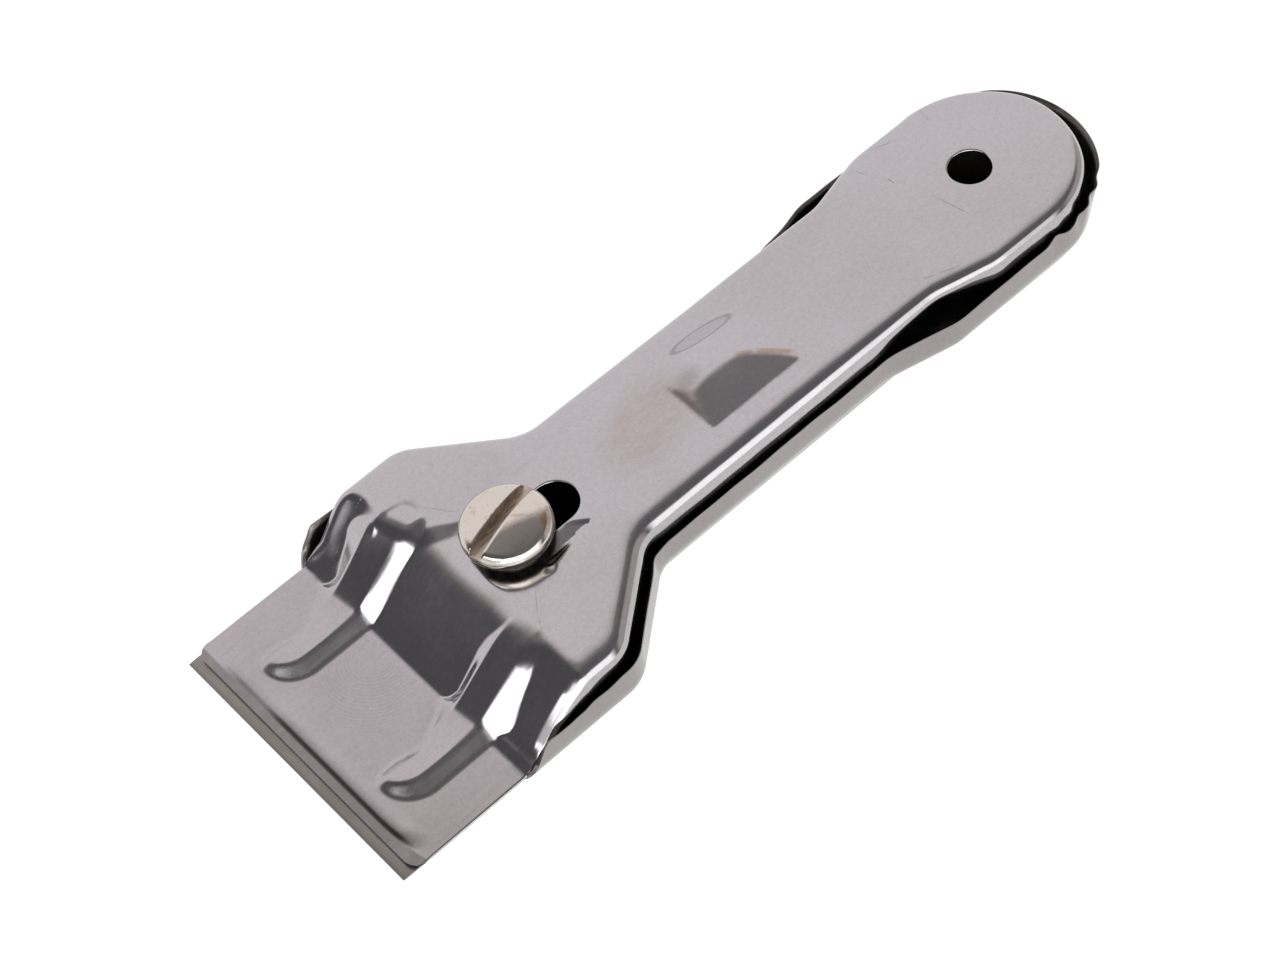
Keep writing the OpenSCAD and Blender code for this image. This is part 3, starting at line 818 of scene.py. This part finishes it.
def build_tray():
    half, tan = path([(-17.8, 22.99, 0), (-36.82, 22.99, 6.0), (-49.32, 12.4, 6.0), (-88.3, 12.4, 10.0),
                      (-98.3, 14.98, 10.0), (-118.2, 14.98, 0)], 0.45)
    a, b = rear_arc(-118.2, 14.98, 52)
    P, T = mirrored(half + a, tan + b, False)
    N = np.c_[-T[:, 1], T[:, 0]]
    n = len(P)
    rows = []
    top = tray_top(P[:, 0], P[:, 1])
    reach = np.arccos(np.clip(1 - top / R_TRAY, 0, 1))       # how far the rounding is climbed
    # the flange flares outwards round the rear, and is set in on one side
    flare = 0.85 * step(-119.0, -128.0, P[:, 0])
    P = P + N * (np.where(P[:, 1] < 0, 0.55, 0) * step(-89.0, -95.0, P[:, 0]) * step(-122.0, -114.0, P[:, 0]))[:, None]
    for share in np.linspace(0, 1, 10):
        an = reach * share
        q = P + N * (R_TRAY * (1 - np.sin(an)) + flare)[:, None]
        rows.append(np.c_[q, R_TRAY * (1 - np.cos(an))])
    wall = np.maximum(top - R_TRAY, 0)
    for f in np.linspace(0, 1, 12)[1:]:
        q = rows[9][:, :2] - N * (tray_lean(P[:, 0], P[:, 1], np.full(n, f)) * (wall > 1.0) + flare * f)[:, None]
        rows.append(np.c_[q, rows[9][:, 2] + wall * f])
    inner = rows[0][:, :2]
    yt = inner[0, 1]
    tongue, _ = path([(inner[-1, 0], -yt, 0), (-2.4, -yt, 1.5), (-2.4, yt, 1.5), (inner[0, 0], yt, 0)], 0.6, 12)
    outer = np.vstack([inner, np.array(tongue)[1:-1]])
    holes = [circle(HANG_X, 0, HANG_R, 64), circle(SCREW_X, 0, 3.5, 64)]
    extra = [circle(HANG_X, 0, HANG_R + 0.3, 64), circle(SCREW_X, 0, 3.8, 64)]
    for s in (-1, 1):
        extra += [circle(-11.0, s * 12.9, r, 40) for r in (1.05, 1.3, 1.5, 1.7, 1.95)]
    g = np.mgrid[-130:-3:1.1, -20.4:20.5:1.1].reshape(2, -1).T
    g = g[inside(outer, g)]
    g = g[~near(g, np.vstack([outer, *holes, *extra]), 0.5)]
    for h in holes:
        g = g[~inside(h, g)]
    V, F, ring = fill(outer, holes, extra, g)
    F = F[:, ::-1]                                     # the outside looks down
    verts = [np.c_[V, floor_height(V[:, 0], V[:, 1])]]
    base = len(V)
    idx = [ring[:n]]
    for k in range(1, len(rows)):
        verts.append(rows[k])
        idx.append(base + np.arange(n))
        base += n
    faces = [tuple(f) for f in F]
    for k in range(1, len(idx)):
        i0, i1 = idx[k - 1], idx[k]
        faces += list(zip(i0[:-1], i0[1:], i1[1:], i1[:-1]))
    obj = make("tray_shell", np.vstack(verts), faces, "tray", "shell_steel", [M_TRAY, M_DULL_SHADE])
    # the flange thins out at its upper edge
    gauge = obj.vertex_groups.new(name="gauge")
    co = np.array([v.co[:] for v in obj.data.vertices]) * 1e3
    top = tray_top(co[:, 0] - FRONT, co[:, 1])
    thin = np.where((co[:, 2] > 1.5) & (top > 3.0), np.clip((top - co[:, 2]) / 0.5, 0, 1), 1)
    for i, w in enumerate(thin):
        gauge.add([i], float(0.22 + 0.78 * w), "REPLACE")
    thicken(obj, SHEET, 1, 0, 0)
    return obj


# --------------------------------------------------------- screw set, blade
HEAD_Z, HEAD_R, APEX_Z = 11.15, 5.95, 14.43
BALL_R, CAP_R, ROLL_R = 18.5, 4.9, 1.434       # flat dome with a broad rounded rim
SLOT_DIR, SLOT_OFF, SLOT_W, SLOT_Z = math.radians(14.5), -0.5, 1.8, 12.7


def dome(rho):
    rho = np.asarray(rho, float)
    cap = APEX_Z - (BALL_R - np.sqrt(np.clip(BALL_R ** 2 - np.minimum(rho, CAP_R) ** 2, 0, None)))
    sine = np.clip(CAP_R / BALL_R + (rho - CAP_R) / ROLL_R, 0, 0.997)
    c0 = math.sqrt(1 - (CAP_R / BALL_R) ** 2)
    return np.where(rho > CAP_R, cap - ROLL_R * (c0 - np.sqrt(1 - sine ** 2)), cap)


def build_screw():
    ca, sa = math.cos(SLOT_DIR), math.sin(SLOT_DIR)
    n = 160
    r0 = HEAD_R - 0.05
    outer = circle(0, 0, r0, n)
    t0, t1 = SLOT_OFF - SLOT_W / 2, SLOT_OFF + SLOT_W / 2
    # dome in the slot's own axes: s along the slot, t across it
    lines, soft = [], []
    for t in (t0, t1):
        m = math.sqrt(r0 ** 2 - t * t) - 0.02
        lines.append(np.c_[m * np.sin(np.linspace(-math.pi / 2, math.pi / 2, 90)), np.full(90, t)])
    for t in (t0 - 0.09, t1 + 0.09):
        m = math.sqrt(r0 ** 2 - t * t) - 0.05
        soft.append(np.c_[np.linspace(-m, m, 60), np.full(60, t)])
    radii = [*np.arange(0.3, CAP_R - 0.1, 0.26), CAP_R, 5.05, 5.19, 5.32, 5.44, 5.55, 5.64, 5.72, 5.79, 5.85]
    free = np.vstack([circle(0, 0, r, max(12, int(2 * math.pi * r / 0.26))) for r in radii])
    keep = (np.abs(free[:, 1] - t0) > 0.16) & (np.abs(free[:, 1] - t1) > 0.16)
    free = np.vstack([free[keep], *soft])
    verts2, edges = [], []
    for loop in [outer]:
        verts2 += [Vector(map(float, p)) for p in loop]
        edges += [(i, (i + 1) % n) for i in range(n)]
    for ln in lines:
        n0 = len(verts2)
        verts2 += [Vector(map(float, p)) for p in ln]
        edges += [(n0 + i, n0 + i + 1) for i in range(len(ln) - 1)]
    verts2 += [Vector(map(float, p)) for p in free]
    v, _, f, ov, _, _ = delaunay_2d_cdt(verts2, edges, [], 1, 1e-6)
    v = np.array([(p.x, p.y) for p in v])
    f = np.array(f)
    where = {s: i for i, src in enumerate(ov) for s in src}
    rho = np.hypot(v[:, 0], v[:, 1])
    z_top = dome(rho)
    gap = np.minimum(np.abs(v[:, 1] - t0), np.abs(v[:, 1] - t1))
    z_top = z_top - 0.05 * np.clip(1 - gap / 0.09, 0, 1) ** 2
    mid = v[f].mean(1)
    in_slot = (mid[:, 1] > t0) & (mid[:, 1] < t1)
    z_low = np.minimum(SLOT_Z + 0.05 * (v[:, 0] / r0) ** 2, z_top)
    nv = len(v)
    xyz = np.vstack([np.c_[v, z_top], np.c_[v, z_low]])
    faces, mats = [], []
    for tri, s in zip(f, in_slot):
        faces.append(tuple(tri + nv) if s else tuple(tri))
        mats.append(1 if s else 0)
    off = n
    for li, ln in enumerate(lines):
        ids = [where[off + i] for i in range(len(ln))]
        off += len(ln)
        for a, b in zip(ids[:-1], ids[1:]):
            q = (a, b, b + nv, a + nv) if li == 0 else (b, a, a + nv, b + nv)
            faces.append(q)
            mats.append(1)
    # rim, underside and threaded shank, turned about the axis
    ring0 = [where[i] for i in range(n)]
    ang = np.arange(n) * 2 * math.pi / n
    prof = [(HEAD_R - 0.02, dome(HEAD_R - 0.02))]
    prof += [(HEAD_R - 0.6 + 0.6 * math.cos(a), HEAD_Z + 1.2 - 1.2 * math.sin(a)) for a in np.radians(range(0, 91, 9))]
    prof += [(4.6, HEAD_Z), (3.2, HEAD_Z), (3.02, HEAD_Z - 0.08), (2.98, HEAD_Z - 0.4)]
    zs = np.arange(HEAD_Z - 0.5, 0.95, -0.1)
    base = len(xyz)
    prev = ring0
    rows = []
    for r, z in prof:
        rows.append(np.c_[r * np.cos(ang), r * np.sin(ang), np.full(n, z)])
    for z in zs:
        ph = (z - ang / (2 * math.pi)) % 1.0
        tooth = 2.62 + 0.34 * np.clip(1.25 - np.abs(ph - 0.5) * 3.4, 0, 1) * step(HEAD_Z - 0.5, HEAD_Z - 1.6, z)
        tooth = np.where(z > HEAD_Z - 1.2, np.maximum(tooth, 2.62 + 0.34 * step(HEAD_Z - 1.2, HEAD_Z - 0.5, z)), tooth)
        rows.append(np.c_[tooth * np.cos(ang), tooth * np.sin(ang), np.full(n, z)])
    for r, z in ((2.5, 0.8), (2.2, 0.5), (1.9, 0.32), (1.2, 0.30), (0.4, 0.30)):
        rows.append(np.c_[r * np.cos(ang), r * np.sin(ang), np.full(n, z)])
    verts = [xyz]
    for level, row in enumerate(rows):
        verts.append(row)
        ids = list(range(base, base + n))
        for i in range(n):
            j = (i + 1) % n
            faces.append((prev[i], ids[i], ids[j], prev[j]))
            # the lower rim and underside take the nickel darkened as painted shade
            mats.append(2 if 7 < level < 16 else 0)
        prev = ids
        base += n
    faces.append(tuple(prev[::-1]))
    mats.append(0)
    xyz = np.vstack(verts)
    x, y = xyz[:, 0].copy(), xyz[:, 1].copy()
    xyz[:, 0], xyz[:, 1] = x * ca - y * sa + SCREW_X, x * sa + y * ca
    mesh = bpy.data.meshes.new("slotted_screw")
    mesh.from_pydata(to_row(xyz).tolist(), [], [list(map(int, q)) for q in faces])
    mesh.polygons.foreach_set("material_index", np.array(mats, np.int32))
    for m in (M_NICKEL, M_SLOT, M_UNDERHEAD_SHADE):
        mesh.materials.append(m)
    bm = bmesh.new()
    bm.from_mesh(mesh)
    bmesh.ops.remove_doubles(bm, verts=bm.verts, dist=2e-6)
    bmesh.ops.dissolve_degenerate(bm, edges=bm.edges, dist=1e-7)
    bmesh.ops.delete(bm, geom=[q for q in bm.verts if not q.link_faces], context="VERTS")
    bm.to_mesh(mesh)
    bm.free()
    obj = bpy.data.objects.new("slotted_screw", mesh)
    scene.collection.objects.link(obj)
    smooth(obj, 40)
    return obj


def lathe(name, profile, cx, n, mats, angle=40):
    """Closed ring turned about a vertical axis from a closed (r, z) profile."""
    ang = np.arange(n) * 2 * math.pi / n
    verts, faces, m = [], [], len(profile)
    for r, z in profile:
        verts.append(np.c_[cx + r * np.cos(ang), r * np.sin(ang), np.full(n, z)])
    for k in range(m):
        for i in range(n):
            j = (i + 1) % n
            k2 = (k + 1) % m
            faces.append((k * n + i, k * n + j, k2 * n + j, k2 * n + i))
    obj = make(name, np.vstack(verts), faces, None, None, mats, doubles=False)
    bm = bmesh.new()
    bm.from_mesh(obj.data)
    bmesh.ops.recalc_face_normals(bm, faces=bm.faces)
    bm.to_mesh(obj.data)
    bm.free()
    smooth(obj, angle)
    return obj


def build_washer():
    z0, z1, ri, ro, e = 9.95, 11.13, 3.2, 4.49, 0.12
    prof = [(ri, z0 + e), (ri + 0.03, z0 + 0.03), (ri + e, z0), (ro - e, z0), (ro - 0.03, z0 + 0.03), (ro, z0 + e),
            (ro, z1 - e), (ro - 0.03, z1 - 0.03), (ro - e, z1), (ri + e, z1), (ri + 0.03, z1 - 0.03), (ri, z1 - e)]
    # the washer takes the nickel darkened as painted shade under the head
    return lathe("thick_washer", prof, SCREW_X, 96, [M_UNDERHEAD_SHADE])


def build_nut():
    """Square nut, its top corners turned off, with a threaded hole."""
    w, z0, h, n = 5.0, 0.5, 5.0, 96
    ang = (np.arange(n) + 0.5) * 2 * math.pi / n
    rad = w / np.maximum(np.abs(np.cos(ang)), np.abs(np.sin(ang)))
    rows = []
    for share, z in ((0.985, z0), (1.0, z0 + 0.1), (1.0, z0 + 3.6)):
        rows.append((np.minimum(rad * share, 6.9), np.full(n, z)))
    for k in range(1, 6):
        lim = 7.2 - 0.42 * k
        rows.append((np.minimum(rad, lim), np.where(rad > lim, z0 + 3.6 + 0.26 * k, z0 + 3.6 + 0.26 * k)))
    rows.append((np.full(n, 4.7), np.full(n, z0 + h)))
    rows.append((np.full(n, 3.4), np.full(n, z0 + h)))
    rows.append((np.full(n, 3.08), np.full(n, z0 + h - 0.3)))
    for z in np.arange(z0 + h - 0.4, z0 + 0.35, -0.12):
        ph = (z - ang / (2 * math.pi)) % 1.0
        rows.append((3.34 - 0.28 * np.clip(1.25 - np.abs(ph - 0.5) * 3.4, 0, 1), np.full(n, z)))
    rows.append((np.full(n, 3.08), np.full(n, z0 + 0.3)))
    rows.append((np.full(n, 3.4), np.full(n, z0)))
    verts = [np.c_[SCREW_X + r * np.cos(ang), r * np.sin(ang), z] for r, z in rows]
    m, faces = len(rows), []
    for k in range(m):
        k2 = (k + 1) % m
        for i in range(n):
            j = (i + 1) % n
            faces.append((k * n + i, k * n + j, k2 * n + j, k2 * n + i))
    obj = make("weld_nut", np.vstack(verts), faces, None, None, [M_ZINC], doubles=False)
    bm = bmesh.new()
    bm.from_mesh(obj.data)
    bmesh.ops.recalc_face_normals(bm, faces=bm.faces)
    bm.to_mesh(obj.data)
    bm.free()
    smooth(obj, 30)
    return obj


def build_blade():
    """Double-edged blade, 43 x 22 x 0.25, ground on both long edges, three holes."""
    x0, x1, y1, zc, t = -22.0, 0.0, 21.5, 0.675, 0.25
    ys = np.linspace(-y1, y1, 87)
    loop = np.vstack([np.c_[np.full(87, x1), ys], np.c_[np.linspace(x1, x0, 41)[1:-1], np.full(39, y1)],
                      np.c_[np.full(87, x0), ys[::-1]], np.c_[np.linspace(x0, x1, 41)[1:-1], np.full(39, -y1)]])
    holes = [circle(-11.0, s * 12.9, 3.0, 56) for s in (-1, 0, 1)]
    fx = np.array([-21.8, -21.4, -20.9, -20.6, -20.0, -18.5, -17.0, -15.5, -14.0, -12.5, -11.0, -9.5, -8.0, -6.5, -5.0, -3.5, -2.0, -1.4, -1.1, -0.6, -0.2])
    g = np.array([(x, y) for x in fx for y in np.linspace(-21.0, 21.0, 71)])
    g = g[~near(g, np.vstack(holes), 0.35)]
    for h in holes:
        g = g[~inside(h, g)]
    V, F, ring = fill(loop, holes, [], g)

    def half_t(x):
        d = np.minimum(-x, x + 22.0)
        return np.where(d < 0.35, 0.012 + 0.16 * d, np.where(d < 1.1, 0.068 + 0.076 * (d - 0.35), t / 2))

    hgt = np.minimum(half_t(V[:, 0]), t / 2)
    top = np.c_[V, zc + hgt]
    bot = np.c_[V, zc - hgt]
    nv = len(V)
    faces = [tuple(f) for f in F] + [tuple(f[::-1] + nv) for f in F]
    edge = {}
    for f in F:
        for a, b in ((f[0], f[1]), (f[1], f[2]), (f[2], f[0])):
            edge[(a, b)] = edge.get((a, b), 0) + 1
    for a, b in list(edge):
        if (b, a) not in edge:
            faces.append((b, a, a + nv, b + nv))
    obj = make("razor_blade", np.vstack([top, bot]), faces, None, None, [M_BLADE], doubles=False)
    smooth(obj, 30)
    return obj


cover = build_cover()
tray = build_tray()
screw = build_screw()
washer = build_washer()
nut = build_nut()
blade = build_blade()
for obj, body, node, slot in ((cover, "cover", "top_shell", "shell_steel"), (tray, "tray", "bottom_shell", "shell_steel"),
                              (screw, "screw", "clamp_screw", "nickel"), (washer, "washer", "washer", "nickel"),
                              (nut, "tray", "square_nut", "zinc"), (blade, "tray", "blade", "blade_steel")):
    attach(obj, body)
    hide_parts(node)


# ------------------------------------------------------------ floor, light
def build_floor():
    mesh = bpy.data.meshes.new("floor")
    s, z = 3.0, -0.00006
    mesh.from_pydata([(-s, -s, z), (s, -s, z), (s, s, z), (-s, s, z)], [], [(0, 1, 2, 3)])
    obj = bpy.data.objects.new("floor", mesh)
    scene.collection.objects.link(obj)
    mat = bpy.data.materials.new("pale_floor")
    mat.use_nodes = True
    nt = mat.node_tree
    nt.nodes.clear()
    t = Tree(nt)
    out = t.node("ShaderNodeOutputMaterial")
    glow = t.node("ShaderNodeEmission")
    glow.inputs["Color"].default_value = (1.0, 0.995, 0.99, 1)
    glow.inputs["Strength"].default_value = 1.12
    flat = t.node("ShaderNodeBsdfDiffuse")
    flat.inputs["Color"].default_value = (0.08, 0.08, 0.08, 1)
    add = t.node("ShaderNodeAddShader")
    nt.links.new(glow.outputs[0], add.inputs[0])
    nt.links.new(flat.outputs[0], add.inputs[1])
    clear = t.node("ShaderNodeBsdfTransparent")
    geo = t.node("ShaderNodeNewGeometry")
    mix = t.node("ShaderNodeMixShader")
    nt.links.new(geo.outputs["Backfacing"], mix.inputs[0])
    nt.links.new(add.outputs[0], mix.inputs[1])
    nt.links.new(clear.outputs[0], mix.inputs[2])
    nt.links.new(mix.outputs[0], out.inputs[0])
    mesh.materials.append(mat)
    return obj


def build_world():
    """Soft studio surround: a pale wall, a dark ceiling over the camera, one low bright panel."""
    world = bpy.data.worlds.new("studio")
    scene.world = world
    world.use_nodes = True
    nt = world.node_tree
    nt.nodes.clear()
    t = Tree(nt)
    out = t.node("ShaderNodeOutputWorld")
    bg = t.node("ShaderNodeBackground")
    nt.links.new(bg.outputs[0], out.inputs[0])
    tc = t.node("ShaderNodeTexCoord")
    sep = t.node("ShaderNodeSeparateXYZ")
    nt.links.new(tc.outputs["Generated"], sep.inputs[0])
    x, y, z = sep.outputs
    # pale wall behind and to the left
    q = t.math("MULTIPLY_ADD", x, 0.25)
    t.put(q.node.inputs[2], y)
    wall = t.ramp(q, -0.415, -0.535)
    e = t.math("MULTIPLY_ADD", z, 0.67)
    t.put(e.node.inputs[2], x)
    wall = t.math("MULTIPLY", wall, t.ramp(e, 0.93, 0.75))
    # pale surround low on the handle's side
    side = t.math("MULTIPLY", t.ramp(x, -0.58, -0.76), t.ramp(z, 0.70, 0.56))
    # bright panel low on the camera's side
    reach = t.math("MULTIPLY", t.math("MAXIMUM", t.math("SUBTRACT", x, 0.5), 0.0), t.ramp(z, 0.645, 0.585))
    near = t.math("MULTIPLY_ADD", reach, 0.95)
    t.put(near.node.inputs[2], y)
    panel = t.math("MULTIPLY", t.ramp(near, 0.0, 0.26), t.ramp(z, 0.73, 0.57))
    panel = t.math("MULTIPLY", panel, t.ramp(x, -0.60, -0.32))
    dark = t.mix(t.ramp(y, -0.42, 0.12), (0.345, 0.328, 0.336, 1), (0.215, 0.205, 0.217, 1))
    dark = t.mix(t.ramp(x, 0.15, 0.5), dark, (0.138, 0.131, 0.146, 1))
    col = t.mix(side, dark, (0.67, 0.63, 0.62, 1))
    col = t.mix(wall, col, (1.17, 1.13, 1.15, 1))
    # warm fringe where the wall ends
    rim = t.math("MULTIPLY", t.math("MULTIPLY", wall, t.math("SUBTRACT", 1.0, wall)), 1.4)
    col = t.mix(rim, col, (0.72, 0.60, 0.48, 1))
    glare = t.mix(t.ramp(x, 0.1, 0.3), (2.25, 2.25, 2.25, 1), (3.9, 3.9, 3.85, 1))
    # the panel is weaker round a bright middle, so that the flat back is not washed out from behind
    keep = t.math("MULTIPLY", t.math("MULTIPLY", t.ramp(y, 0.48, 0.42), t.ramp(z, 0.39, 0.42)),
                  t.math("MULTIPLY", t.ramp(x, 0.66, 0.72), t.ramp(x, 0.89, 0.865)))
    weak = t.math("MULTIPLY", t.math("MULTIPLY", t.ramp(x, 0.2, 0.4), t.ramp(y, 0.56, 0.48)), t.math("SUBTRACT", 1.0, keep))
    glare = t.mix(weak, glare, t.mix(t.ramp(z, 0.45, 0.41), (1.6, 1.6, 1.6, 1), (0.95, 0.94, 0.95, 1)))
    col = t.mix(panel, col, glare)
    nt.links.new(col, bg.inputs[0])
    bg.inputs[1].default_value = 1.0


def build_camera():
    """The photograph's viewing angle."""
    cam = bpy.data.cameras.new("camera")
    cam.sensor_fit = "HORIZONTAL"
    cam.sensor_width = 36.0
    cam.lens = 79.772
    cam.clip_start, cam.clip_end = 0.01, 20.0
    obj = bpy.data.objects.new("camera", cam)
    right = Vector((-0.737799, 0.659252, -0.145052))
    up = -Vector((0.603188, 0.547424, -0.580078))
    back = -Vector((-0.303013, -0.515475, -0.801542))
    m = Matrix((right, up, back)).transposed().to_4x4()
    m.translation = Vector(((51.2645 + FRONT) * 1e-3, 0.1832029, 0.2864817))
    obj.matrix_world = m
    scene.collection.objects.link(obj)
    scene.camera = obj


build_floor()
build_world()
build_camera()
scene.view_settings.view_transform = "Standard"
scene.view_settings.look = "None"
